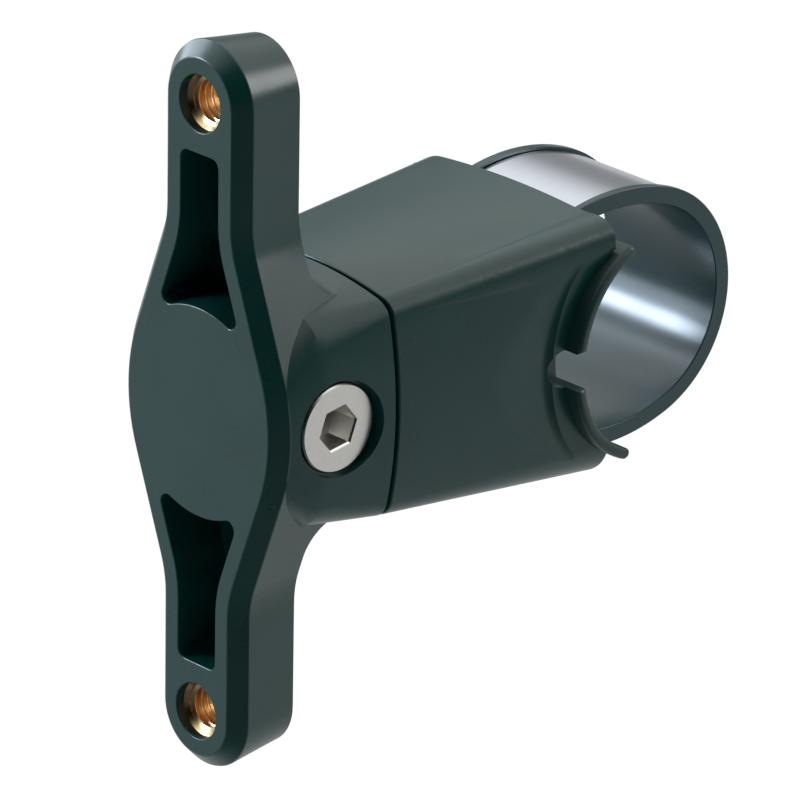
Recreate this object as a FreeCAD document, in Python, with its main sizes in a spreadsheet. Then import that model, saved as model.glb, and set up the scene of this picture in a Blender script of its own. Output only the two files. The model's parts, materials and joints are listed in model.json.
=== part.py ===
import FreeCAD, Part
import math
import os
import Sketcher

# Handlebar bottle cage mount: a moulded cage plate with two brass inserts, a flared clamp body,
# and a steel band that is drawn into the body by a cross screw. Millimetres, +Z up, +X along the
# handlebar, origin on the handlebar's axis, the plate's face towards -Y.

V = FreeCAD.Vector
doc = FreeCAD.newDocument("handlebar_bottle_cage_mount")
sheet = doc.addObject("Spreadsheet::Sheet", "sizes")
sheet_rows = []


def size(name, number):
    """Writes one driving dimension into the sheet, and gives its number back."""
    sheet_rows.append(name)
    row = len(sheet_rows)
    sheet.set(f"A{row}", name)
    sheet.set(f"B{row}", str(number))
    sheet.setAlias(f"B{row}", name)
    return number


# Handlebar and saddle
bar_diameter = size("bar_diameter", 22.2)
bar_clearance = size("bar_clearance", 0.1)
pad_thickness = size("pad_thickness", 1.2)
pad_width = size("pad_width", 33.6)
pad_bow_radius = size("pad_bow_radius", 85.0)
pad_half_angle = size("pad_half_angle", 67.0)
notch_height = size("notch_height", 3.9)
notch_floor = size("notch_floor", 12.3)

# Cage plate
front_to_bar = size("front_to_bar", 47.8)
hole_spacing = size("hole_spacing", 64.0)
plate_width = size("plate_width", 12.3)
disc_width = size("disc_width", 23.8)
disc_crown_radius = size("disc_crown_radius", 20.0)
flank_angle = size("flank_angle", 20.5)
waist_radius = size("waist_radius", 10.0)
plate_thickness = size("plate_thickness", 8.2)
front_bevel = size("front_bevel", 1.5)
side_draft = size("side_draft", 7.0)
rib_width = size("rib_width", 3.45)
pocket_depth = size("pocket_depth", 6.4)
pocket_end = size("pocket_end", 26.8)
hub_radius = size("hub_radius", 11.0)
pocket_corner = size("pocket_corner", 0.9)

# Brass inserts
insert_mouth = size("insert_mouth", 5.8)
insert_recess = size("insert_recess", 1.0)
insert_length = size("insert_length", 6.2)
insert_diameter = size("insert_diameter", 7.0)
insert_bore = size("insert_bore", 4.2)
insert_groove = size("insert_groove", 0.4)

# Boss on the plate's back
boss_depth = size("boss_depth", 14.4)
boss_root_width = size("boss_root_width", 23.7)
boss_root_height = size("boss_root_height", 20.0)
boss_root_corner = size("boss_root_corner", 5.0)
boss_mid_depth = size("boss_mid_depth", 6.0)
boss_mid_width = size("boss_mid_width", 24.8)
boss_mid_height = size("boss_mid_height", 24.4)
boss_mid_crown = size("boss_mid_crown", 30.0)
boss_mid_corner = size("boss_mid_corner", 4.5)
seam_width = size("seam_width", 26.3)
seam_height = size("seam_height", 25.4)
seam_crown_radius = size("seam_crown_radius", 45.0)
seam_corner = size("seam_corner", 2.4)
seam_gap = size("seam_gap", 0.3)
boss_cove = size("boss_cove", 3.4)
cavity_front_wall = size("cavity_front_wall", 2.3)
spigot_wall = size("spigot_wall", 1.3)
spigot_length = size("spigot_length", 2.0)
spigot_clearance = size("spigot_clearance", 0.1)

# Clamp body
body_end = size("body_end", 5.9)
rear_width = size("rear_width", 30.6)
rear_height = size("rear_height", 28.7)
rear_crown_radius = size("rear_crown_radius", 110.0)
rear_corner = size("rear_corner", 4.8)
waist_width = size("waist_width", 28.4)
flange_thickness = size("flange_thickness", 0.9)
flange_cove = size("flange_cove", 1.8)
web_thickness = size("web_thickness", 2.9)

# Band loop, from the handlebar outwards
loop_slack = size("loop_slack", 4.5)
liner_wall = size("liner_wall", 0.85)
band_thickness = size("band_thickness", 0.65)
rim_height = size("rim_height", 0.35)
loop_width = size("loop_width", 16.0)
band_width = size("band_width", 14.0)
rim_clearance = size("rim_clearance", 0.2)
loop_clearance = size("loop_clearance", 0.35)
far_half_angle = size("far_half_angle", 70.0)
side_bend = size("side_bend", 10.0)
liner_end_angle = size("liner_end_angle", 112.0)
leg_bend_angle = size("leg_bend_angle", 118.0)
leg_straight = size("leg_straight", 11.9)
band_pin_diameter = size("band_pin_diameter", 3.0)

# Draw mechanism
screw_from_front = size("screw_from_front", 7.8)
screw_diameter = size("screw_diameter", 6.0)
head_diameter = size("head_diameter", 9.15)
head_recess = size("head_recess", 0.65)
head_land = size("head_land", 0.4)
head_edge = size("head_edge", 0.15)
head_clearance = size("head_clearance", 0.45)
hex_key = size("hex_key", 4.0)
hex_chamfer = size("hex_chamfer", 0.17)
hex_depth = size("hex_depth", 3.0)
hex_turn = size("hex_turn", 21.0)
running_fit = size("running_fit", 0.05)
clip_thickness = size("clip_thickness", 0.8)
clip_diameter = size("clip_diameter", 8.4)
clip_recess = size("clip_recess", 1.45)
clip_groove = size("clip_groove", 0.6)
tail_recess = size("tail_recess", 0.15)
block_width = size("block_width", 18.0)
block_height = size("block_height", 15.2)
block_clearance = size("block_clearance", 0.3)
block_heel = size("block_heel", 1.3)
nut_length = size("nut_length", 9.0)
nut_depth = size("nut_depth", 8.0)
nut_height = size("nut_height", 8.8)
nut_clearance = size("nut_clearance", 0.2)
rib_length = size("rib_length", 8.0)
cam_rib_width = size("cam_rib_width", 3.0)
cam_rib_height = size("cam_rib_height", 1.5)
doc.recompute()

# Places that follow from the sizes
bar_radius = bar_diameter / 2
pad_inner = bar_radius + bar_clearance
saddle_radius = pad_inner + pad_thickness
front = -front_to_bar
seam = front + boss_depth
screw_y = front + screw_from_front
cavity_width = block_width + 2 * block_clearance
cavity_height = block_height + 2 * block_clearance
nut_start = -loop_slack / 2
boss_share = (screw_from_front - boss_mid_depth) / (boss_depth - boss_mid_depth)
boss_side = (boss_mid_width + (seam_width - boss_mid_width) * boss_share) / 2
head_face = boss_side - head_recess
clip_seat = boss_side - clip_recess
screw_tail = boss_side - tail_recess
boss_slope = "(sizes.seam_width - sizes.boss_mid_width) / (sizes.boss_depth - sizes.boss_mid_depth)"
boss_run = "(sizes.screw_from_front - sizes.boss_mid_depth)"
boss_side_rule = f"(sizes.boss_mid_width + {boss_slope} * {boss_run}) / 2"


def new_body(name):
    body = doc.addObject("PartDesign::Body", name)
    body.Label = name
    return body


def new_sketch(body, role, name, height=None):
    """A sketch on one of the body's own planes, moved along the plane's normal by an expression."""
    sketch = body.newObject("Sketcher::SketchObject", name)
    plane = next(item for item in body.Origin.OriginFeatures if item.Role == role)
    sketch.AttachmentSupport = (plane, [""])
    sketch.MapMode = "FlatFace"
    if height:
        sketch.setExpression("AttachmentOffset.Base.z", height)
    return sketch


def outline(sketch, start, *steps):
    """Closed outline: a step is the next corner, or an arc's middle point and its end."""
    here = start
    for step in steps + (start,):
        if isinstance(step[0], tuple):
            middle, end = step
            sketch.addGeometry(Part.Arc(V(*here, 0), V(*middle, 0), V(*end, 0)), False)
            here = end
        elif math.dist(here, step) > 1e-6:
            sketch.addGeometry(Part.LineSegment(V(*here, 0), V(*step, 0)), False)
            here = step


def rectangle(sketch, left, low, right, high):
    outline(sketch, (left, low), (right, low), (right, high), (left, high))


def circle(sketch, across, up, diameter):
    """A circle whose diameter is bound to the sheet."""
    index = sketch.addGeometry(Part.Circle(V(across, up, 0), V(0, 0, 1), 1.0), False)
    constraint = sketch.addConstraint(Sketcher.Constraint("Diameter", index, 2.0))
    sketch.setExpression(f"Constraints[{constraint}]", diameter)


def axis_line(sketch, start, end):
    sketch.addGeometry(Part.LineSegment(V(*start, 0), V(*end, 0)), True)


def pad(body, sketch, name, length, symmetric=False, reverse=False, draft=None):
    feature = body.newObject("PartDesign::Pad", name)
    feature.Profile = sketch
    feature.setExpression("Length", length)
    feature.SideType = "Symmetric" if symmetric else "One side"
    feature.Reversed = reverse
    if draft:
        feature.setExpression("TaperAngle", draft)
    doc.recompute()
    return feature


def pocket(body, sketch, name, length, symmetric=False, reverse=False, draft=None):
    feature = body.newObject("PartDesign::Pocket", name)
    feature.Profile = sketch
    feature.setExpression("Length", length)
    feature.SideType = "Symmetric" if symmetric else "One side"
    feature.Reversed = reverse
    if draft:
        feature.setExpression("TaperAngle", draft)
    doc.recompute()
    return feature


def revolve(body, sketch, name, kind="PartDesign::Revolution", axis=None):
    """Turns a sketch about its own first construction line, or about an axis of the body."""
    feature = body.newObject(kind, name)
    feature.Profile = sketch
    feature.ReferenceAxis = axis if axis else (sketch, ["Axis0"])
    doc.recompute()
    return feature


def inner_corners(shape, y):
    """Names of the edges in a plane across Y where two faces meet at a hollow angle."""
    names = []
    for number, edge in enumerate(shape.Edges, 1):
        middle = edge.valueAt((edge.FirstParameter + edge.LastParameter) / 2)
        normals = []
        for face in shape.ancestorsOfType(edge, Part.Face):
            normals.append(face.normalAt(*face.Surface.parameter(middle)))
        if len(normals) == 2 and abs(middle.y - y) < 0.01:
            if shape.isInside(middle + (normals[0] - normals[1]) * 0.05, 1e-4, False):
                names.append(f"Edge{number}")
    return names


def body_axis(body, role):
    return (next(item for item in body.Origin.OriginFeatures if item.Role == role), [""])


def crowned_square(sketch, width, height, crown, corner):
    """A rounded square whose four sides bow outwards, with corners tangent to the bowed sides."""
    side_x = width / 2 - crown
    side_z = height / 2 - crown
    reach = crown - corner
    tilt = side_x / side_z
    shift = (side_z ** 2 - side_x ** 2) / (2 * side_z)
    qa = 1 + tilt ** 2
    qb = 2 * tilt * shift - 2 * side_x
    qc = shift ** 2 + side_x ** 2 - reach ** 2
    px = (-qb + math.sqrt(qb ** 2 - 4 * qa * qc)) / (2 * qa)
    pz = tilt * px + shift
    on_side = (side_x + crown * (px - side_x) / reach, crown * pz / reach)
    on_top = (crown * px / reach, side_z + crown * (pz - side_z) / reach)
    turn = (math.atan2(pz, px - side_x) + math.atan2(pz - side_z, px)) / 2
    bend = (px + corner * math.cos(turn), pz + corner * math.sin(turn))

    def flip(point, sx, sz):
        return (sx * point[0], sz * point[1])

    outline(
        sketch,
        flip(on_side, 1, -1),
        ((width / 2, 0), on_side),
        (bend, on_top),
        ((0, height / 2), flip(on_top, -1, 1)),
        (flip(bend, -1, 1), flip(on_side, -1, 1)),
        ((-width / 2, 0), flip(on_side, -1, -1)),
        (flip(bend, -1, -1), flip(on_top, -1, -1)),
        ((0, -height / 2), flip(on_top, 1, -1)),
        (flip(bend, 1, -1), flip(on_side, 1, -1)),
    )


# Cage plate: bar with round ends and a swollen middle, drafted to the back and bevelled in front
phi = math.radians(flank_angle)
half_plate = plate_width / 2
half_disc = disc_width / 2
half_span = hole_spacing / 2
crown_end = (half_disc - disc_crown_radius * (1 - math.cos(phi)), disc_crown_radius * math.sin(phi))
flank_run = (crown_end[0] - half_plate - waist_radius * (1 - math.cos(phi))) / math.sin(phi)
flank_end = (crown_end[0] - flank_run * math.sin(phi), crown_end[1] + flank_run * math.cos(phi))
waist_centre = (half_plate + waist_radius, flank_end[1] + waist_radius * math.sin(phi))


def waist_point(radius, angle):
    return (waist_centre[0] - radius * math.cos(angle), waist_centre[1] - radius * math.sin(angle))


def plate_outline(sketch):
    waist_mid = waist_point(waist_radius, phi / 2)
    waist_end = (half_plate, waist_centre[1])

    def quarter(sx, sz):
        points = (crown_end, flank_end, waist_mid, waist_end, (half_plate, half_span))
        return [(sx * x, sz * z) for x, z in points]

    right_up = quarter(1, 1)
    left_up = quarter(-1, 1)
    left_down = quarter(-1, -1)
    right_down = quarter(1, -1)
    end_radius = half_plate
    outline(
        sketch,
        right_down[0],
        ((half_disc, 0), right_up[0]), right_up[1], (right_up[2], right_up[3]), right_up[4],
        ((0, half_span + end_radius), left_up[4]), left_up[3], (left_up[2], left_up[1]), left_up[0],
        ((-half_disc, 0), left_down[0]), left_down[1], (left_down[2], left_down[3]), left_down[4],
        ((0, -half_span - end_radius), right_down[4]), right_down[3], (right_down[2], right_down[1]),
    )


def pocket_outline(sketch, sign):
    """A pocket that keeps the plate's rib width at its sides and bends round the hub at its inner end."""
    half = half_plate - rib_width
    normal = (math.cos(phi), math.sin(phi))
    along = (-math.sin(phi), math.cos(phi))
    inset = normal[0] * crown_end[0] + normal[1] * crown_end[1] - rib_width - pocket_corner
    run = math.sqrt((hub_radius + pocket_corner) ** 2 - inset ** 2)
    corner = (inset * normal[0] + run * along[0], inset * normal[1] + run * along[1])
    on_flank = (corner[0] + pocket_corner * normal[0], corner[1] + pocket_corner * normal[1])
    shrink = hub_radius / (hub_radius + pocket_corner)
    on_hub = (corner[0] * shrink, corner[1] * shrink)
    bend_turn = (phi + math.atan2(-corner[1], -corner[0])) / 2
    bend = (corner[0] + pocket_corner * math.cos(bend_turn), corner[1] + pocket_corner * math.sin(bend_turn))
    wide = waist_radius + rib_width
    top = pocket_end - pocket_corner
    round_off = pocket_corner * (1 - math.sqrt(0.5))

    def at(point, side):
        return (side * point[0], sign * point[1])

    outline(
        sketch,
        at(on_hub, -1),
        ((0, sign * hub_radius), at(on_hub, 1)),
        (at(bend, 1), at(on_flank, 1)),
        at(waist_point(wide, phi), 1),
        (at(waist_point(wide, phi / 2), 1), at((half, waist_centre[1]), 1)),
        at((half, top), 1),
        (at((half - round_off, pocket_end - round_off), 1), at((half - pocket_corner, pocket_end), 1)),
        at((half - pocket_corner, pocket_end), -1),
        (at((half - round_off, pocket_end - round_off), -1), at((half, top), -1)),
        at((half, waist_centre[1]), -1),
        (at(waist_point(wide, phi / 2), -1), at(waist_point(wide, phi), -1)),
        at(on_flank, -1),
        (at(bend, -1), at(on_hub, -1)),
    )


cage_plate = new_body("cage_plate")
plate_sketch = new_sketch(cage_plate, "XZ_Plane", "plate_outline", "sizes.front_to_bar - sizes.front_bevel")
plate_outline(plate_sketch)
pad(cage_plate, plate_sketch, "plate_back", "sizes.plate_thickness - sizes.front_bevel",
    reverse=True, draft="-sizes.side_draft")
pad(cage_plate, plate_sketch, "plate_front", "sizes.front_bevel", draft="-45")

boss_root = new_sketch(cage_plate, "XZ_Plane", "boss_root", "sizes.front_to_bar - sizes.front_bevel")
crowned_square(boss_root, boss_root_width, boss_root_height, disc_crown_radius, boss_root_corner)
boss_mid = new_sketch(cage_plate, "XZ_Plane", "boss_mid", "sizes.front_to_bar - sizes.boss_mid_depth")
crowned_square(boss_mid, boss_mid_width, boss_mid_height, boss_mid_crown, boss_mid_corner)
boss_seam = new_sketch(cage_plate, "XZ_Plane", "boss_seam", "sizes.front_to_bar - sizes.boss_depth")
crowned_square(boss_seam, seam_width, seam_height, seam_crown_radius, seam_corner)
boss = cage_plate.newObject("PartDesign::AdditiveLoft", "boss")
boss.Profile = boss_root
boss.Sections = [boss_mid, boss_seam]
boss.Ruled = True
doc.recompute()
boss_blend = cage_plate.newObject("PartDesign::Fillet", "boss_blend")
boss_blend.Base = (boss, inner_corners(boss.Shape, front + plate_thickness))
boss_blend.setExpression("Radius", "sizes.boss_cove")
doc.recompute()

pocket_sketch = new_sketch(cage_plate, "XZ_Plane", "pocket_outlines", "sizes.front_to_bar")
pocket_outline(pocket_sketch, 1)
pocket_outline(pocket_sketch, -1)
pocket(cage_plate, pocket_sketch, "front_pockets", "sizes.pocket_depth")

mouth_sketch = new_sketch(cage_plate, "XZ_Plane", "insert_mouths", "sizes.front_to_bar")
seat_sketch = new_sketch(cage_plate, "XZ_Plane", "insert_seats", "sizes.front_to_bar - sizes.insert_recess")
for height in (half_span, -half_span):
    circle(mouth_sketch, 0, height, "sizes.insert_mouth")
    circle(seat_sketch, 0, height, "sizes.insert_diameter")
pocket(cage_plate, mouth_sketch, "insert_holes", "sizes.plate_thickness + 1")
pocket(cage_plate, seat_sketch, "insert_pockets", "sizes.insert_length")

cavity_sketch = new_sketch(cage_plate, "XZ_Plane", "cavity", "sizes.front_to_bar - sizes.boss_depth")
rectangle(cavity_sketch, -cavity_width / 2, -cavity_height / 2, cavity_width / 2, cavity_height / 2)
pocket(cage_plate, cavity_sketch, "draw_cavity", "sizes.boss_depth - sizes.cavity_front_wall", reverse=True)

socket_sketch = new_sketch(cage_plate, "XZ_Plane", "spigot_socket", "sizes.front_to_bar - sizes.boss_depth")
socket_x = cavity_width / 2 + spigot_wall + spigot_clearance
socket_z = cavity_height / 2 + spigot_wall + spigot_clearance
rectangle(socket_sketch, -socket_x, -socket_z, socket_x, socket_z)
pocket(cage_plate, socket_sketch, "spigot_recess", "sizes.spigot_length - sizes.seam_gap", reverse=True)

bore_sketch = new_sketch(cage_plate, "YZ_Plane", "screw_bore")
circle(bore_sketch, screw_y, 0, "sizes.screw_diameter + 2 * sizes.running_fit")
pocket(cage_plate, bore_sketch, "screw_bore_cut", "2 * sizes.seam_width", symmetric=True)

head_radius = head_diameter / 2
screw_radius = screw_diameter / 2
cone_top = head_face - head_land
cone_bottom = cone_top - (head_radius - screw_radius)
outside = seam_width
seat_cut = new_sketch(cage_plate, "XY_Plane", "screw_seats")
axis_line(seat_cut, (-outside, screw_y), (outside, screw_y))
outline(
    seat_cut,
    (cone_bottom, screw_y),
    (cone_bottom, screw_y + screw_radius + 2 * running_fit),
    (cone_top, screw_y + head_radius + 2 * running_fit),
    (cone_top, screw_y + head_radius + head_clearance),
    (outside, screw_y + head_radius + head_clearance),
    (outside, screw_y),
)
outline(
    seat_cut,
    (-clip_seat, screw_y),
    (-outside, screw_y),
    (-outside, screw_y + clip_diameter / 2 + block_clearance),
    (-clip_seat, screw_y + clip_diameter / 2 + block_clearance),
)
revolve(cage_plate, seat_cut, "screw_seat_cuts", "PartDesign::Groove")

# Brass inserts: threaded bushes moulded into the plate, held by two grooves round the outside
for name, height in (("upper_insert", half_span), ("lower_insert", -half_span)):
    insert = new_body(name)
    profile = new_sketch(insert, "YZ_Plane", name + "_profile")
    near = front + insert_recess
    far = near + insert_length
    inner = height + insert_bore / 2
    outer = height + insert_diameter / 2
    waist = outer - insert_groove
    step = insert_length / 5
    lead = insert_groove
    axis_line(profile, (near, height), (far, height))
    outline(
        profile,
        (near, inner + lead), (near + lead, inner), (far, inner),
        (far, outer), (far - step, outer), (far - step, waist), (far - 2 * step, waist),
        (far - 2 * step, outer), (far - 3 * step, outer), (far - 3 * step, waist),
        (far - 4 * step, waist), (far - 4 * step, outer), (near, outer),
    )
    revolve(insert, profile, name + "_turned")

# Clamp body: flares from the seam to the handlebar, with a flanged saddle and slots for the band
clamp_body = new_body("clamp_body")
body_front = new_sketch(clamp_body, "XZ_Plane", "body_front",
                        "sizes.front_to_bar - sizes.boss_depth - sizes.seam_gap")
crowned_square(body_front, seam_width, seam_height, seam_crown_radius, seam_corner)
body_rear = new_sketch(clamp_body, "XZ_Plane", "body_rear", "sizes.body_end")
crowned_square(body_rear, rear_width, rear_height, rear_crown_radius, rear_corner)
flare = clamp_body.newObject("PartDesign::AdditiveLoft", "flare")
flare.Profile = body_front
flare.Sections = [body_rear]
flare.Ruled = True
doc.recompute()

flange_cut = new_sketch(clamp_body, "XY_Plane", "flange_relief")
flange_x = rear_width / 2
side_x = waist_width / 2
cove_x = side_x + flange_cove
cove_r = saddle_radius + flange_thickness + flange_cove
tip_r = cove_r - math.sqrt(flange_cove ** 2 - (cove_x - flange_x) ** 2)
cove_turn = (math.pi + math.atan2(tip_r - cove_r, flange_x - cove_x) % (2 * math.pi)) / 2
cove_mid = (cove_x + flange_cove * math.cos(cove_turn), cove_r + flange_cove * math.sin(cove_turn))
clear_x = flange_x + flange_cove
for side in (1, -1):
    outline(
        flange_cut,
        (side * clear_x, seam), (side * clear_x, -tip_r), (side * flange_x, -tip_r),
        ((side * cove_mid[0], -cove_mid[1]), (side * side_x, -cove_r)), (side * side_x, seam),
    )
revolve(clamp_body, flange_cut, "flange_relief_cut", "PartDesign::Groove", body_axis(clamp_body, "X_Axis"))

spigot_sketch = new_sketch(clamp_body, "XZ_Plane", "spigot",
                           "sizes.front_to_bar - sizes.boss_depth + sizes.spigot_length - sizes.seam_gap")
spigot_x = cavity_width / 2 + spigot_wall
spigot_z = cavity_height / 2 + spigot_wall
rectangle(spigot_sketch, -spigot_x, -spigot_z, spigot_x, spigot_z)
pad(clamp_body, spigot_sketch, "locating_spigot", "2 * sizes.spigot_length", reverse=True)

saddle_sketch = new_sketch(clamp_body, "YZ_Plane", "saddle")
circle(saddle_sketch, 0, 0, "sizes.bar_diameter + 2 * sizes.bar_clearance + 2 * sizes.pad_thickness")
pocket(clamp_body, saddle_sketch, "saddle_cut", "2 * sizes.rear_width", symmetric=True)

channel_end = -saddle_radius - web_thickness
channel_sketch = new_sketch(clamp_body, "YZ_Plane", "draw_channel")
rectangle(channel_sketch, seam - 2 * spigot_length, -cavity_height / 2, channel_end, cavity_height / 2)
pocket(clamp_body, channel_sketch, "draw_channel_cut", "sizes.block_width + 2 * sizes.block_clearance",
       symmetric=True)

# Band loop: a far arc that fits the handlebar, flatter side arcs, then straight legs to the pins
alpha = math.radians(far_half_angle)
theta_leg = math.radians(leg_bend_angle)
theta_liner = math.radians(liner_end_angle)
leg_along = (-math.sin(theta_leg), math.cos(theta_leg))
liner_inner = bar_radius + bar_clearance / 2
band_inner = liner_inner + liner_wall
band_outer = band_inner + band_thickness
rim_outer = band_outer + rim_height


def loop_point(radius, angle, sign=1, draw=0.0):
    """A point on the loop at a distance from the handlebar's side, on the upper or the lower half."""
    y = loop_slack - draw
    z = 0.0
    reach = radius
    if angle > alpha:
        y = y - side_bend * math.cos(alpha)
        z = -side_bend * math.sin(alpha)
        reach = radius + side_bend
    return (y + reach * math.cos(angle), sign * (z + reach * math.sin(angle)))


def leg_point(radius, sign=1, draw=0.0):
    y, z = loop_point(radius, theta_leg, 1, draw)
    return (y + leg_straight * leg_along[0], sign * (z + leg_straight * leg_along[1]))


def loop_layer(sketch, inner, outer, end):
    """One layer of the loop between two radii, both halves up to the same end angle."""
    bend = (alpha + end) / 2
    outline(
        sketch,
        loop_point(inner, end, -1),
        (loop_point(inner, bend, -1), loop_point(inner, alpha, -1)),
        (loop_point(inner, 0), loop_point(inner, alpha)),
        (loop_point(inner, bend), loop_point(inner, end)),
        loop_point(outer, end),
        (loop_point(outer, bend), loop_point(outer, alpha)),
        (loop_point(outer, 0), loop_point(outer, alpha, -1)),
        (loop_point(outer, bend, -1), loop_point(outer, end, -1)),
    )


slot_sketch = new_sketch(clamp_body, "YZ_Plane", "band_slots")
slot_inner = liner_inner - loop_clearance
slot_outer = rim_outer + loop_clearance
slot_start = math.radians(90) + 0.05
inner_mid = (slot_start + theta_leg) / 2
for sign in (1, -1):
    outline(
        slot_sketch,
        loop_point(slot_inner, slot_start, sign),
        (loop_point(slot_inner, inner_mid, sign), loop_point(slot_inner, theta_leg, sign)),
        leg_point(slot_inner, sign),
        leg_point(slot_outer, sign, loop_slack),
        loop_point(slot_outer, theta_leg, sign, loop_slack),
        (loop_point(slot_outer, inner_mid, sign, loop_slack),
         loop_point(slot_outer, slot_start, sign, loop_slack)),
        (loop_slack, sign * rear_height / 2 - sign * flange_thickness),
    )
pocket(clamp_body, slot_sketch, "band_slot_cuts", "sizes.loop_width + 2 * sizes.loop_clearance", symmetric=True)


def cut_notches(body):
    """A round-bottomed notch in each end of the saddle, level with the handlebar's axis."""
    half = notch_height / 2
    for name, side in (("right", 1), ("left", -1)):
        notch = new_sketch(body, "YZ_Plane", f"{body.Label}_{name}_notch", f"{side} * sizes.notch_floor")
        outline(
            notch,
            (0, -half), (0, half), (-saddle_radius, half),
            ((-saddle_radius - half, 0), (-saddle_radius, -half)),
        )
        pocket(body, notch, f"{body.Label}_{name}_notch_cut", "sizes.pad_width", reverse=side > 0)


cut_notches(clamp_body)

# Saddle pad: rubber lining of the saddle, with windows where the band passes
saddle_pad = new_body("saddle_pad")
pad_sketch = new_sketch(saddle_pad, "YZ_Plane", "pad_section")
half_turn = math.radians(pad_half_angle)
pad_middle = (pad_inner + saddle_radius) / 2


def saddle_point(radius, angle):
    return (-radius * math.cos(angle), radius * math.sin(angle))


end_turn = half_turn + (pad_thickness / 2) / pad_middle
outline(
    pad_sketch,
    saddle_point(pad_inner, -half_turn),
    (saddle_point(pad_inner, 0), saddle_point(pad_inner, half_turn)),
    (saddle_point(pad_middle, end_turn), saddle_point(saddle_radius, half_turn)),
    (saddle_point(saddle_radius, 0), saddle_point(saddle_radius, -half_turn)),
    (saddle_point(pad_middle, -end_turn), saddle_point(pad_inner, -half_turn)),
)
pad(saddle_pad, pad_sketch, "pad_sheet", "sizes.pad_width", symmetric=True)
window_sketch = new_sketch(saddle_pad, "YZ_Plane", "band_windows")
window_low = loop_point(slot_inner, theta_leg)[1] - loop_clearance
for sign in (1, -1):
    rectangle(window_sketch, -2 * saddle_radius, sign * window_low, loop_slack, sign * 2 * saddle_radius)
pocket(saddle_pad, window_sketch, "band_window_cuts", "sizes.loop_width + 2 * sizes.loop_clearance",
       symmetric=True)
bow_sketch = new_sketch(saddle_pad, "XZ_Plane", "pad_bows")
bow_x = pad_width / 2 - pad_bow_radius + math.sqrt(pad_bow_radius ** 2 - bar_diameter ** 2)
for side in (1, -1):
    outline(
        bow_sketch,
        (side * bow_x, -bar_diameter), ((side * pad_width / 2, 0), (side * bow_x, bar_diameter)),
        (side * pad_width, bar_diameter), (side * pad_width, -bar_diameter),
    )
pocket(saddle_pad, bow_sketch, "pad_bow_cuts", "2 * sizes.bar_diameter", symmetric=True)
cut_notches(saddle_pad)

# Band liner: plastic channel inside the loop, its two rims standing proud of the steel
band_liner = new_body("band_liner")
liner_sketch = new_sketch(band_liner, "YZ_Plane", "liner_section")
loop_layer(liner_sketch, liner_inner, rim_outer, theta_liner)
pad(band_liner, liner_sketch, "liner_loop", "sizes.loop_width", symmetric=True)
groove_sketch = new_sketch(band_liner, "YZ_Plane", "liner_groove")
loop_layer(groove_sketch, band_inner, rim_outer + rim_height, theta_liner + math.radians(5))
pocket(band_liner, groove_sketch, "liner_channel", "sizes.band_width + 2 * sizes.rim_clearance", symmetric=True)

# Steel band: spring strip bent to the loop, its ends rolled round the two pins
eye_radius = band_pin_diameter / 2 + band_thickness
eye_centre = leg_point(band_outer - eye_radius)
steel_band = new_body("steel_band")
band_sketch = new_sketch(steel_band, "YZ_Plane", "band_section")
side_mid = (alpha + theta_leg) / 2
outline(
    band_sketch,
    leg_point(band_inner, -1), loop_point(band_inner, theta_leg, -1),
    (loop_point(band_inner, side_mid, -1), loop_point(band_inner, alpha, -1)),
    (loop_point(band_inner, 0), loop_point(band_inner, alpha)),
    (loop_point(band_inner, side_mid), loop_point(band_inner, theta_leg)), leg_point(band_inner),
    leg_point(band_outer), loop_point(band_outer, theta_leg),
    (loop_point(band_outer, side_mid), loop_point(band_outer, alpha)),
    (loop_point(band_outer, 0), loop_point(band_outer, alpha, -1)),
    (loop_point(band_outer, side_mid, -1), loop_point(band_outer, theta_leg, -1)), leg_point(band_outer, -1),
)
pad(steel_band, band_sketch, "band_strip", "sizes.band_width", symmetric=True)
eye_sketch = new_sketch(steel_band, "YZ_Plane", "band_eyes")
eye_bore = new_sketch(steel_band, "YZ_Plane", "band_eye_bores")
for sign in (1, -1):
    circle(eye_sketch, eye_centre[0], sign * eye_centre[1], "sizes.band_pin_diameter + 2 * sizes.band_thickness")
    circle(eye_bore, eye_centre[0], sign * eye_centre[1], "sizes.band_pin_diameter")
pad(steel_band, eye_sketch, "band_eye_rolls", "sizes.band_width", symmetric=True)
pocket(steel_band, eye_bore, "band_eye_holes", "2 * sizes.band_width", symmetric=True)

# Band pins: hold the band's rolled ends in the draw block
for name, sign in (("upper_band_pin", 1), ("lower_band_pin", -1)):
    pin = new_body(name)
    pin_sketch = new_sketch(pin, "YZ_Plane", name + "_section")
    circle(pin_sketch, eye_centre[0], sign * eye_centre[1], "sizes.band_pin_diameter")
    pad(pin, pin_sketch, name + "_rod", "sizes.block_width", symmetric=True)

# Draw block: slides in the body, forked in front for the nut and behind for the band's ends
block_back = eye_centre[0] + band_pin_diameter / 2 + block_heel
block_front = front + cavity_front_wall + loop_slack + block_clearance
fork_end = screw_y + nut_depth / 2 + loop_slack + block_clearance
band_room = eye_centre[0] - eye_radius - 2 * block_clearance
draw_block = new_body("draw_block")
block_sketch = new_sketch(draw_block, "YZ_Plane", "block_side")
rectangle(block_sketch, block_front, -block_height / 2, block_back, block_height / 2)
pad(draw_block, block_sketch, "block", "sizes.block_width", symmetric=True)
fork_sketch = new_sketch(draw_block, "YZ_Plane", "nut_fork")
fork_z = nut_height / 2 + nut_clearance
rectangle(fork_sketch, block_front - 1, -fork_z, fork_end, fork_z)
pocket(draw_block, fork_sketch, "nut_fork_cut", "2 * sizes.block_width", symmetric=True)
rear_sketch = new_sketch(draw_block, "YZ_Plane", "band_fork")
rectangle(rear_sketch, band_room, -block_height, block_back + 1, block_height)
pocket(draw_block, rear_sketch, "band_fork_cut", "sizes.band_width + 2 * sizes.rim_clearance", symmetric=True)
pin_hole_sketch = new_sketch(draw_block, "YZ_Plane", "pin_holes")
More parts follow.
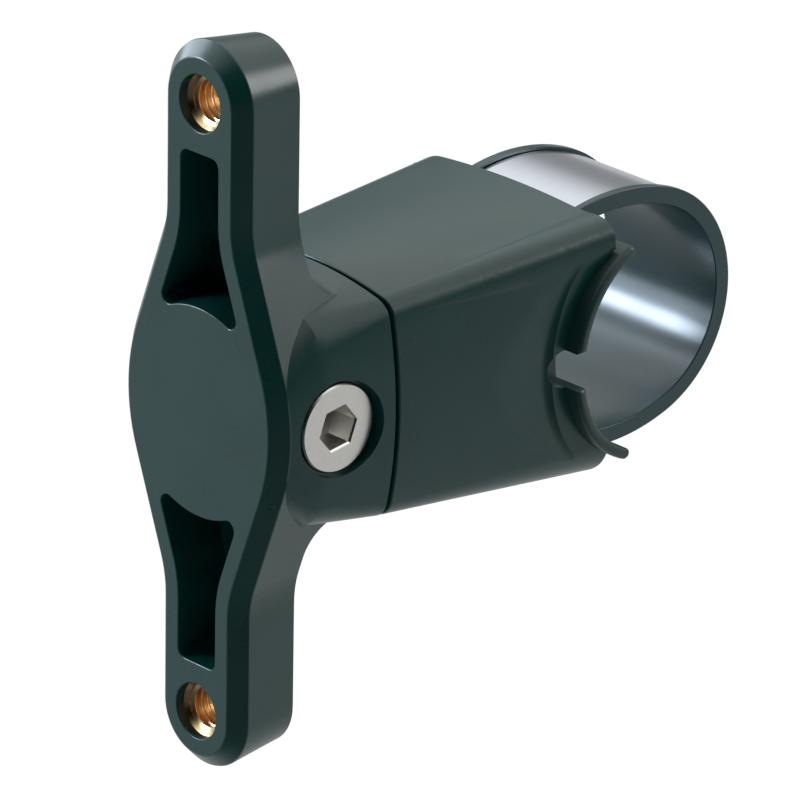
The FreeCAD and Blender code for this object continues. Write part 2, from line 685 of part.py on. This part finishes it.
for sign in (1, -1):
    circle(pin_hole_sketch, eye_centre[0], sign * eye_centre[1], "sizes.band_pin_diameter")
pocket(draw_block, pin_hole_sketch, "pin_hole_cuts", "2 * sizes.block_width", symmetric=True)


def slanted_bar(sketch, back, ahead, half_width):
    """A bar at 45 degrees through the nut's centre, so that the nut's travel draws the block as far."""
    slant = math.sqrt(0.5)

    def at(along, across):
        return (nut_start + slant * (along - across), screw_y + slant * (along + across))

    outline(sketch, at(-back, -half_width), at(ahead, -half_width), at(ahead, half_width), at(-back, half_width))


cam_travel = loop_slack * math.sqrt(2)
cam_sketch = new_sketch(draw_block, "XY_Plane", "cam_grooves")
slanted_bar(cam_sketch, rib_length, rib_length / 2 + cam_travel + nut_clearance, cam_rib_width / 2 + nut_clearance)
pocket(draw_block, cam_sketch, "cam_groove_cuts",
       "sizes.nut_height + 2 * sizes.cam_rib_height + 2 * sizes.nut_clearance", symmetric=True)

# Wedge nut: runs along the screw, its slanted ribs draw the block towards the plate
wedge_nut = new_body("wedge_nut")
nut_sketch = new_sketch(wedge_nut, "XY_Plane", "nut_plan")
rectangle(nut_sketch, nut_start - nut_length / 2, screw_y - nut_depth / 2,
          nut_start + nut_length / 2, screw_y + nut_depth / 2)
pad(wedge_nut, nut_sketch, "nut_block", "sizes.nut_height", symmetric=True)
cam_rib = new_sketch(wedge_nut, "XY_Plane", "cam_ribs")
slanted_bar(cam_rib, rib_length / 2, rib_length / 2, cam_rib_width / 2)
pad(wedge_nut, cam_rib, "cam_rib_bars", "sizes.nut_height + 2 * sizes.cam_rib_height", symmetric=True)
nut_bore = new_sketch(wedge_nut, "YZ_Plane", "nut_bore")
circle(nut_bore, screw_y, 0, "sizes.screw_diameter + 2 * sizes.running_fit")
pocket(wedge_nut, nut_bore, "nut_thread_bore", "4 * sizes.nut_length", symmetric=True)

# Clamp screw: countersunk, turns in the boss and is kept by a clip at its far end
clamp_screw = new_body("clamp_screw")
screw_sketch = new_sketch(clamp_screw, "XY_Plane", "screw_profile")
groove_x = clip_seat + running_fit
neck = screw_y + screw_radius - clip_groove
axis_line(screw_sketch, (-screw_tail, screw_y), (head_face, screw_y))
outline(
    screw_sketch,
    (head_face, screw_y), (head_face, screw_y + head_radius - head_edge),
    (head_face - head_edge, screw_y + head_radius), (cone_top, screw_y + head_radius),
    (cone_bottom, screw_y + screw_radius), (-groove_x, screw_y + screw_radius), (-groove_x, neck),
    (-groove_x - clip_thickness, neck), (-groove_x - clip_thickness, screw_y + screw_radius),
    (-screw_tail, screw_y + screw_radius), (-screw_tail, screw_y),
)
revolve(clamp_screw, screw_sketch, "screw_turned")


def hexagon(sketch, across_flats):
    corner = across_flats / math.sqrt(3)
    points = []
    for turn in range(6):
        angle = math.radians(90 - hex_turn + 60 * turn)
        points.append((screw_y + corner * math.cos(angle), corner * math.sin(angle)))
    outline(sketch, *points)


hex_sketch = new_sketch(clamp_screw, "YZ_Plane", "hex_socket", f"{boss_side_rule} - sizes.head_recess")
hexagon(hex_sketch, hex_key)
pocket(clamp_screw, hex_sketch, "hex_socket_cut", "sizes.hex_depth")
chamfer_sketch = new_sketch(clamp_screw, "YZ_Plane", "hex_mouth", f"{boss_side_rule} - sizes.head_recess")
hexagon(chamfer_sketch, hex_key + 2 * hex_chamfer)
pocket(clamp_screw, chamfer_sketch, "hex_mouth_chamfer", "sizes.hex_chamfer", draft="-45")

# Retaining clip: snaps into the screw's groove behind the far wall
retaining_clip = new_body("retaining_clip")
clip_sketch = new_sketch(retaining_clip, "YZ_Plane", "clip_ring",
                         f"sizes.clip_recess - {boss_side_rule} - sizes.running_fit - sizes.clip_thickness")
clip_gap = math.radians(35)
clip_out = clip_diameter / 2
clip_in = screw_radius - clip_groove


def clip_point(radius, angle):
    return (screw_y + radius * math.cos(angle), radius * math.sin(angle))


outline(
    clip_sketch,
    clip_point(clip_in, -math.pi + clip_gap),
    (clip_point(clip_in, 0), clip_point(clip_in, math.pi - clip_gap)),
    clip_point(clip_out, math.pi - clip_gap),
    (clip_point(clip_out, 0), clip_point(clip_out, -math.pi + clip_gap)),
)
pad(retaining_clip, clip_sketch, "clip_plate", "sizes.clip_thickness")
doc.recompute()

os.makedirs("parts", exist_ok=True)
for item in doc.Objects:
    if "Invalid" in item.State or "Error" in item.State:
        raise RuntimeError(f"{item.Label} did not build: {item.State}")
for body in (item for item in doc.Objects if item.TypeId == "PartDesign::Body"):
    if body.Shape.isNull() or not body.Shape.isValid() or len(body.Shape.Solids) != 1:
        raise RuntimeError(f"{body.Label} is not one valid solid")
    body.Shape.exportStep(f"parts/{body.Label}.step")
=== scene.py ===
import json
import math

import bmesh
import bpy
from mathutils import Matrix, Vector
from mathutils.bvhtree import BVHTree
from mathutils.interpolate import poly_3d_calc
from mathutils.kdtree import KDTree

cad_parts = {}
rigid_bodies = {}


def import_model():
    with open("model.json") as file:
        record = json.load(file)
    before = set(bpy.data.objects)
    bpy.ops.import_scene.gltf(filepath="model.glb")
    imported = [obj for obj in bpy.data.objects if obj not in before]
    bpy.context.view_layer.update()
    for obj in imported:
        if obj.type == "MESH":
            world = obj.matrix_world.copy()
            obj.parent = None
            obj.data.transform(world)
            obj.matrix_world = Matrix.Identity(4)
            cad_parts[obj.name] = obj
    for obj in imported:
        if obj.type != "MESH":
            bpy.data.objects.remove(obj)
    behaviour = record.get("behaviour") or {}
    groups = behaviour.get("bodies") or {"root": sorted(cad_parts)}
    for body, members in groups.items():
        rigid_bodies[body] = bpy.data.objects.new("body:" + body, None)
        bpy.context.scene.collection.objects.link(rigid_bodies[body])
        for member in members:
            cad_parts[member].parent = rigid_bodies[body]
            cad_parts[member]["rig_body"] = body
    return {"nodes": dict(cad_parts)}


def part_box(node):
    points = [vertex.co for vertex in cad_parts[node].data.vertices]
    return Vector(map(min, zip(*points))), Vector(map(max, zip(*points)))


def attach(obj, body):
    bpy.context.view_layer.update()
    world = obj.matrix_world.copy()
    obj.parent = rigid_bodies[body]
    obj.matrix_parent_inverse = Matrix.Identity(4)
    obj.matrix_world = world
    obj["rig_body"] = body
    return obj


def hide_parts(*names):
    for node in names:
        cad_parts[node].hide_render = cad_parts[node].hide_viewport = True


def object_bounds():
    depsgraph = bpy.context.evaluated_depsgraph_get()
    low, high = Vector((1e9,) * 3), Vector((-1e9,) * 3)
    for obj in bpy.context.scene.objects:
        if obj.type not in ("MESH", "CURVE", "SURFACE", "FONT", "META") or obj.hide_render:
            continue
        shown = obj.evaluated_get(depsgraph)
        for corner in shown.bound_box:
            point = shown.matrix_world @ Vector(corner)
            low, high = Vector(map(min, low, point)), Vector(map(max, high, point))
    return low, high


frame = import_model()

cad_low, cad_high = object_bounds()
scene = bpy.context.scene
MM = 0.001
SAME_POINT = 0.001 * MM


# Shared helpers

def linear(code):
    """An sRGB hex colour as the linear colour that a shader takes."""
    levels = [int(code[i:i + 2], 16) / 255 for i in (1, 3, 5)]
    return [v / 12.92 if v <= 0.04045 else ((v + 0.055) / 1.055) ** 2.4 for v in levels] + [1.0]


def per_mm(size):
    """The texture scale whose features are about this many millimetres across."""
    return 1 / (size * MM)


def add(tree, kind, inputs=None, **settings):
    """Add a shader node with its settings; an input is a value or the socket that feeds it."""
    made = tree.nodes.new(kind)
    for name, value in settings.items():
        setattr(made, name, value)
    for name, value in (inputs or {}).items():
        if isinstance(value, bpy.types.NodeSocket):
            tree.links.new(value, made.inputs[name])
        else:
            made.inputs[name].default_value = value
    return made


def new_material(name):
    """An empty material and the tree that its nodes go into."""
    made = bpy.data.materials.new(name)
    made.use_nodes = True
    made.node_tree.nodes.clear()
    return made, made.node_tree


# Materials

def surface(tree, pattern, relief, tones, gloss, strength, depth, own):
    """A surface whose tone and gloss follow a pattern, with a shallow relief, its depth in mm.

    Tones are the dark and the light one, gloss is the roughness at each of them, and own holds the
    shader's values that are the same all over.
    """
    tone = add(tree, "ShaderNodeMix",
               {0: pattern, 6: linear(tones[0]), 7: linear(tones[1])}, data_type="RGBA")
    sheen = add(tree, "ShaderNodeMapRange",
                {"Value": pattern, "To Min": gloss[0], "To Max": gloss[1]})
    skin = add(tree, "ShaderNodeBump",
               {"Height": relief, "Strength": strength, "Distance": depth * MM})
    shader = add(tree, "ShaderNodeBsdfPrincipled",
                 {"Base Color": tone.outputs[2], "Roughness": sheen.outputs["Result"],
                  "Normal": skin.outputs["Normal"], **own})
    add(tree, "ShaderNodeOutputMaterial", {"Surface": shader.outputs["BSDF"]})


def moulded_plastic(name, tones, gloss, grain, depth):
    """A moulded skin: a cloudy tone, and a grain, its size in mm, that breaks up the gloss."""
    cloud_size = 7
    made, tree = new_material(name)
    place = add(tree, "ShaderNodeTexCoord").outputs["Object"]
    cloud = add(tree, "ShaderNodeTexNoise",
                {"Vector": place, "Scale": per_mm(cloud_size), "Detail": 3.0})
    pits = add(tree, "ShaderNodeTexNoise",
               {"Vector": place, "Scale": per_mm(grain), "Detail": 2.0})
    surface(tree, cloud.outputs["Fac"], pits.outputs["Fac"], tones, gloss, 0.3, depth,
            {"IOR": 1.53})
    return made


def streaked_metal(name, tones, gloss, streak, depth):
    """Metal with the marks of its making: streak is a mark's size along X, Y and Z in mm."""
    made, tree = new_material(name)
    place = add(tree, "ShaderNodeTexCoord").outputs["Object"]
    along = add(tree, "ShaderNodeMapping",
                {"Vector": place, "Scale": [per_mm(size) for size in streak]})
    lines = add(tree, "ShaderNodeTexNoise",
                {"Vector": along.outputs["Vector"], "Scale": 1.0, "Detail": 4.0})
    surface(tree, lines.outputs["Fac"], lines.outputs["Fac"], tones, gloss, 0.25, depth,
            {"Metallic": 1.0})
    return made


nylon = {"tones": ("#012a27", "#043431"), "gloss": (0.24, 0.32), "grain": 0.4, "depth": 0.006}
finishes = {
    # Glass-filled nylon from an etched mould: a dark green-grey with a soft satin sheen, no clear
    # reflections. An etched grain is finer than this and drawn coarser, so that it shows.
    "plate_plastic": moulded_plastic("moulded nylon plate", **nylon),
    "body_plastic": moulded_plastic("moulded nylon body", **nylon),
    # Moulded rubber: the same dark tone, flatter in the light
    "pad_rubber": moulded_plastic(
        "moulded rubber pad",
        tones=("#022623", "#04302d"), gloss=(0.36, 0.44), grain=0.4, depth=0.015),
    # Extruded liner: smooth enough to show a lamp as a long streak
    "liner_plastic": moulded_plastic(
        "extruded liner plastic",
        tones=("#03282b", "#073338"), gloss=(0.2, 0.27), grain=0.8, depth=0.005),
    # Rolled stainless strip: nearly a mirror, with faint lines that run along the strip, drawn
    # coarser than the rolls leave them
    "band_steel": streaked_metal(
        "bright rolled stainless strip",
        tones=("#c4cad2", "#ced4dc"), gloss=(0.16, 0.22), streak=(0.15, 25, 25), depth=0.001),
    # Satin stainless: a pale warm grey, evenly bright, with a faint mottle in place of lines
    "screw_steel": streaked_metal(
        "satin stainless screw",
        tones=("#dad9d4", "#ebeae6"), gloss=(0.26, 0.34), streak=(0.5, 0.5, 0.5), depth=0.006),
    # Turned brass: warm and bright, with rings round its axis, drawn coarser than a lathe's
    "insert_brass": streaked_metal(
        "turned brass",
        tones=("#f4cb94", "#ffdfb4"), gloss=(0.24, 0.34), streak=(0.8, 0.12, 0.8), depth=0.003),
    # Milled brass: darker than the turned one, with the cutter's lines
    "nut_brass": streaked_metal(
        "milled brass",
        tones=("#b98b4a", "#d0a25c"), gloss=(0.25, 0.36), streak=(6, 0.15, 6), depth=0.006),
    # Ground steel: bright grey, with fine rings round the pin
    "pin_steel": streaked_metal(
        "ground steel pin",
        tones=("#a9acae", "#c3c6c8"), gloss=(0.2, 0.3), streak=(0.1, 4, 4), depth=0.004),
    # Die-cast zinc: a dull mid grey with a soft mottle
    "block_metal": streaked_metal(
        "die-cast zinc",
        tones=("#8c9092", "#a5a9ab"), gloss=(0.38, 0.52), streak=(1.2, 1.2, 1.2), depth=0.02),
    # Blackened spring steel: dark grey, with little shine
    "clip_steel": streaked_metal(
        "blackened spring steel",
        tones=("#3a3c3e", "#4c4f51"), gloss=(0.32, 0.42), streak=(0.4, 0.4, 0.4), depth=0.006),
}
slots = {
    "cage_plate": "plate_plastic", "clamp_body": "body_plastic", "saddle_pad": "pad_rubber",
    "steel_band": "band_steel", "band_liner": "liner_plastic", "upper_band_pin": "pin_steel",
    "lower_band_pin": "pin_steel", "draw_block": "block_metal", "wedge_nut": "nut_brass",
    "clamp_screw": "screw_steel", "retaining_clip": "clip_steel",
    "upper_insert": "insert_brass", "lower_insert": "insert_brass",
}
for node, slot in slots.items():
    solid = frame["nodes"][node]
    solid.data.materials.clear()
    solid.data.materials.append(finishes[slot])


# Pieces

def stand_for(shape, name, node, smooth_below=38):
    """Make a finished piece of a bmesh: it takes a CAD node's place, body and finish."""
    mesh = bpy.data.meshes.new(name)
    shape.to_mesh(mesh)
    shape.free()
    mesh.polygons.foreach_set("use_smooth", [True] * len(mesh.polygons))
    mesh.set_sharp_from_angle(angle=math.radians(smooth_below))
    piece = bpy.data.objects.new(name, mesh)
    scene.collection.objects.link(piece)
    piece.data.materials.append(finishes[slots[node]])
    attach(piece, frame["nodes"][node]["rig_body"])
    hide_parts(node)
    return piece


def joined_copy(node):
    """A bmesh of a solid with its loose triangles joined and its flat faces made whole."""
    nearly_flat = math.radians(0.1)
    shape = bmesh.new()
    shape.from_mesh(frame["nodes"][node].data)
    bmesh.ops.remove_doubles(shape, verts=shape.verts, dist=SAME_POINT)
    bmesh.ops.dissolve_limit(shape, angle_limit=nearly_flat, verts=shape.verts, edges=shape.edges)
    return shape


def across(y, slack=0.02):
    """A test for edges that lie in a plane across Y, in mm."""
    return lambda a, b: abs(a.y - y) < slack and abs(b.y - y) < slack


def beyond(x):
    """A test for edges that lie further out than this along X, on either side, in mm."""
    return lambda a, b: min(abs(a.x), abs(b.x)) > x


def break_edges(shape, width, wanted, segments=1, free=False):
    """Round off the outer edges that a test of an edge's two ends picks out, as a mould does."""
    sharp = math.radians(20)
    picked = []
    for edge in shape.edges:
        if edge.is_manifold and edge.is_convex and edge.calc_face_angle(0) > sharp:
            if wanted(*[vert.co / MM for vert in edge.verts]):
                picked.append(edge)
    bmesh.ops.bevel(shape, geom=picked, offset=width * MM, offset_type="OFFSET", affect="EDGES",
                    segments=segments, profile=0.5, material=-1, clamp_overlap=not free)


def keep_shading(piece, node):
    """Give a piece the solid's own surface normals, so that its curved faces shade as smoothly.

    A corner that the solid also has takes the solid's normals there, mixed where the crease is too
    shallow to be an edge. A corner that a round has added takes those of the nearest place.
    """
    touching = 0.002 * MM
    shallow = math.cos(math.radians(12))
    solid, mesh = frame["nodes"][node].data, piece.data
    corners = KDTree(len(solid.loops))
    facing = {}
    for face in solid.polygons:
        for corner in face.loop_indices:
            corners.insert(solid.vertices[solid.loops[corner].vertex_index].co, corner)
            facing[corner] = face.normal.copy()
    corners.balance()
    points = [vert.co for vert in solid.vertices]
    skin = BVHTree.FromPolygons(points, [list(face.vertices) for face in solid.polygons])
    normals = [None] * len(mesh.loops)
    for face in mesh.polygons:
        for corner in face.loop_indices:
            spot = mesh.vertices[mesh.loops[corner].vertex_index].co
            here = [found for _, found, _ in corners.find_range(spot, touching)]
            mixed = Vector()
            if here:
                match = max(here, key=lambda found: face.normal.dot(facing[found]))
                own = solid.corner_normals[match].vector
                for found in here:
                    other = solid.corner_normals[found].vector
                    if own.dot(other) > shallow:
                        mixed += other
            else:
                touch, _, index, _ = skin.find_nearest(spot)
                nearest = solid.polygons[index]
                weights = poly_3d_calc([points[i] for i in nearest.vertices], touch)
                for weight, found in zip(weights, nearest.loop_indices):
                    mixed += weight * solid.corner_normals[found].vector
            normals[corner] = mixed.normalized()
    mesh.normals_split_custom_set(normals)


def fuller_corner(piece, push, middle_turn=43, spread=12):
    """Square up the flare's upper corner on the screw's side, most of all at its rear.

    The push is in mm. The turns, in degrees round Y, are where the corner is and how far it goes.
    """
    end_depth = 0.5
    skin_share = 0.9
    spots = [vert.co / MM for vert in piece.data.vertices]
    reaches = [math.hypot(spot.x, spot.z) for spot in spots]
    first, last = min(spot.y for spot in spots), max(spot.y for spot in spots)
    front = max(reach for spot, reach in zip(spots, reaches) if spot.y < first + end_depth)
    rear = max(reach for spot, reach in zip(spots, reaches) if spot.y > last - end_depth)
    for vert, spot, reach in zip(piece.data.vertices, spots, reaches):
        along = (spot.y - first) / (last - first)
        outside = reach > skin_share * (front + (rear - front) * along)
        off = (math.degrees(math.atan2(spot.z, spot.x)) - middle_turn) / spread
        if outside and abs(off) < 1:
            move = push * along * math.cos(off * math.pi / 2) ** 2
            vert.co += Vector((spot.x, 0, spot.z)).normalized() * move * MM


# Planes across Y, in mm
plate_front = cad_low[1] / MM
bevel_foot = plate_front + 1.5
seam_front = plate_front + 14.4
seam_rear = seam_front + 0.3

# Edge rounds, and how far out along X the rounded ends and rims begin, in mm
foot_round, front_round, seam_round, lip_round, rim_round = 0.35, 0.3, 0.2, 0.4, 0.12
lip_end, rim_edge = 15.0, 7.9

plate = joined_copy("cage_plate")
break_edges(plate, foot_round, across(bevel_foot))
break_edges(plate, front_round, across(plate_front))
break_edges(plate, seam_round, across(seam_front))
plate = stand_for(plate, "cage_plate_finished", "cage_plate")
keep_shading(plate, "cage_plate")

body = joined_copy("clamp_body")
break_edges(body, seam_round, across(seam_rear))
body = stand_for(body, "clamp_body_finished", "clamp_body")
keep_shading(body, "clamp_body")
fuller_corner(body, push=1.3)

saddle = joined_copy("saddle_pad")
break_edges(saddle, lip_round, beyond(lip_end), segments=3, free=True)
stand_for(saddle, "saddle_pad_finished", "saddle_pad", smooth_below=50)

liner = joined_copy("band_liner")
break_edges(liner, rim_round, beyond(rim_edge), free=True)
liner = stand_for(liner, "band_liner_finished", "band_liner")
keep_shading(liner, "band_liner")

# The far rim stands further out than the solid's, within the slot's clearance
far_rim, further_out = -7.8, 0.3
for vert in liner.data.vertices:
    if vert.co.x < far_rim * MM:
        vert.co.x -= further_out * MM


def threaded_bush(name, node):
    """A brass bush turned on its axis along Y, with a rolled thread standing in from its bore."""
    low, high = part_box(node)
    axis = Vector((0, 0, (low[2] + high[2]) / 2))
    near, far, outer = low[1], high[1], (high[0] - low[0]) / 2
    wall, crest, pitch, lead = 2.5 * MM, 2.1 * MM, 0.8 * MM, 0.4 * MM

    def outline(shape, corners):
        """A closed outline of radius and place along the axis, as its corners and its edges."""
        verts = [shape.verts.new(axis + Vector((radius, along, 0))) for radius, along in corners]
        return verts, [shape.edges.new(ends) for ends in zip(verts, verts[1:] + verts[:1])]

    shape = bmesh.new()
    section, loop = outline(shape, [(wall + lead, near), (outer, near), (outer, far), (wall, far),
                                    (wall, near + lead)])
    bmesh.ops.spin(shape, geom=section + loop, cent=axis, axis=(0, 1, 0), angle=2 * math.pi,
                   steps=72, use_merge=True)
    bmesh.ops.remove_doubles(shape, verts=shape.verts, dist=SAME_POINT)

    turns, steps = 7, 48
    start = near + lead
    root = wall + 0.05 * MM
    foot, tip = 0.38 * pitch, 0.1 * pitch
    ridge, rib = outline(shape, [(root, start - foot), (crest, start - tip), (crest, start + tip),
                                 (root, start + foot)])
    swept = bmesh.ops.spin(shape, geom=ridge + rib, cent=axis, axis=(0, 1, 0),
                           dvec=(0, pitch / steps, 0), angle=2 * math.pi * turns,
                           steps=turns * steps)
    shape.faces.new(ridge)
    shape.faces.new([item for item in swept["geom_last"] if isinstance(item, bmesh.types.BMVert)])
    bmesh.ops.recalc_face_normals(shape, faces=shape.faces)
    stand_for(shape, name, node)


threaded_bush("upper_threaded_bush", "upper_insert")
threaded_bush("lower_threaded_bush", "lower_insert")


# Studio

def toward(azimuth, elevation):
    """A direction from the object, in degrees: azimuth turns from +Y to +X."""
    side, up = math.radians(azimuth), math.radians(elevation)
    return Vector((math.sin(side) * math.cos(up), math.cos(side) * math.cos(up), math.sin(up)))


middle = Vector((0, -15, 0)) * MM
dark_side = toward(138, -5)
floor_drop = 90 * MM
floor_reach = 4.0


def room_side(tree, direction):
    """How much of the white room lies in a direction: none towards its dark side."""
    facing = add(tree, "ShaderNodeVectorMath", {0: direction, 1: dark_side},
                 operation="DOT_PRODUCT")
    return add(tree, "ShaderNodeMapRange",
               {"Value": facing.outputs["Value"], "From Min": 0.0, "From Max": 0.65,
                "To Min": 1.0, "To Max": 0.0},
               interpolation_type="SMOOTHSTEP").outputs["Result"]


floor_mesh = bpy.data.meshes.new("floor")
sheet = bmesh.new()
bmesh.ops.create_grid(sheet, x_segments=1, y_segments=1, size=floor_reach)
bmesh.ops.translate(sheet, verts=sheet.verts, vec=(0, 0, cad_low[2] - floor_drop))
sheet.to_mesh(floor_mesh)
sheet.free()
floor = bpy.data.objects.new("floor", floor_mesh)
scene.collection.objects.link(floor)

# White paper: plain white to the camera with a trace of the shadow, dimmer in a shiny face
white_share, mirrored_level = 0.95, 0.62
paper, tree = new_material("white paper sweep")
ray = add(tree, "ShaderNodeLightPath").outputs
mirrored = add(tree, "ShaderNodeMath",
               {0: ray["Is Glossy Ray"], 1: ray["Is Transmission Ray"]}, operation="MAXIMUM")
seen = add(tree, "ShaderNodeMath",
           {0: ray["Is Camera Ray"], 1: mirrored.outputs[0]}, operation="MAXIMUM")
share = add(tree, "ShaderNodeMath", {0: seen.outputs[0], 1: white_share}, operation="MULTIPLY")
place = add(tree, "ShaderNodeTexCoord").outputs["Object"]
offset = add(tree, "ShaderNodeVectorMath", {0: place, 1: middle}, operation="SUBTRACT")
bearing = add(tree, "ShaderNodeVectorMath", {0: offset.outputs[0]}, operation="NORMALIZE")
dim = add(tree, "ShaderNodeMath",
          {0: room_side(tree, bearing.outputs[0]), 1: mirrored_level}, operation="MULTIPLY")
level = add(tree, "ShaderNodeMapRange",
            {"Value": ray["Is Camera Ray"], "To Min": dim.outputs[0], "To Max": 1.0})
matt = add(tree, "ShaderNodeBsdfDiffuse", {"Color": linear("#f4f4f4")})
glow = add(tree, "ShaderNodeEmission",
           {"Color": linear("#ffffff"), "Strength": level.outputs["Result"]})
mixed = add(tree, "ShaderNodeMixShader",
            {0: share.outputs[0], 1: matt.outputs[0], 2: glow.outputs[0]})
add(tree, "ShaderNodeOutputMaterial", {"Surface": mixed.outputs[0]})
floor.data.materials.append(paper)

# White room: plain white to the camera, and brighter above than at the sides for the object
world = bpy.data.worlds.new("white studio")
scene.world = world
world.use_nodes = True
tree = world.node_tree
tree.nodes.clear()
ray = add(tree, "ShaderNodeLightPath").outputs
gaze = add(tree, "ShaderNodeTexCoord").outputs["Generated"]
height = add(tree, "ShaderNodeSeparateXYZ", {0: gaze}).outputs["Z"]
upper = add(tree, "ShaderNodeMapRange",
            {"Value": height, "From Min": 0.26, "From Max": 0.54, "To Min": 0.3, "To Max": 1.25})
room = add(tree, "ShaderNodeMath",
           {0: upper.outputs["Result"], 1: room_side(tree, gaze)}, operation="MULTIPLY")
level = add(tree, "ShaderNodeMapRange",
            {"Value": ray["Is Camera Ray"], "To Min": room.outputs[0], "To Max": 1.0})
sky = add(tree, "ShaderNodeBackground",
          {"Color": linear("#ffffff"), "Strength": level.outputs["Result"]})
add(tree, "ShaderNodeOutputWorld", {"Surface": sky.outputs[0]})


def soft_box(name, direction, away, width, watts, tint):
    """A square soft box that faces the part from a direction; distances in mm."""
    data = bpy.data.lights.new(name, "AREA")
    data.color = linear(tint)[:3]
    data.size = width * MM
    data.energy = watts
    lamp = bpy.data.objects.new(name, data)
    lamp.location = middle + direction * away * MM
    lamp.rotation_euler = (-direction).to_track_quat("-Z", "Y").to_euler()
    scene.collection.objects.link(lamp)


soft_box("left soft box", toward(-134, 20), away=600, width=130, watts=2.4, tint="#d6e7fa")
soft_box("left low box", toward(-134, 5), away=600, width=140, watts=0.5, tint="#d4e6f6")
soft_box("left wide box", toward(-96, 24), away=650, width=460, watts=3.4, tint="#e0edf8")
soft_box("right soft box", toward(38, 24), away=600, width=260, watts=1.2, tint="#ffffff")


# Camera, at the photograph's angle

eye = Vector((496.45, -482.0, 267.8)) * MM
azimuth, elevation, roll = math.radians(47.11), math.radians(21.98), math.radians(1.006)
camera_data = bpy.data.cameras.new("camera")
camera_data.sensor_width = 36
camera_data.lens = 327.8
camera_data.clip_start = 10 * MM
camera = bpy.data.objects.new("camera", camera_data)
turn = Matrix.Rotation(azimuth, 4, "Z") @ Matrix.Rotation(math.pi / 2 - elevation, 4, "X")
camera.matrix_world = Matrix.Translation(eye) @ turn @ Matrix.Rotation(roll, 4, "Z")
scene.collection.objects.link(camera)
scene.camera = camera
scene.view_settings.view_transform = "Standard"
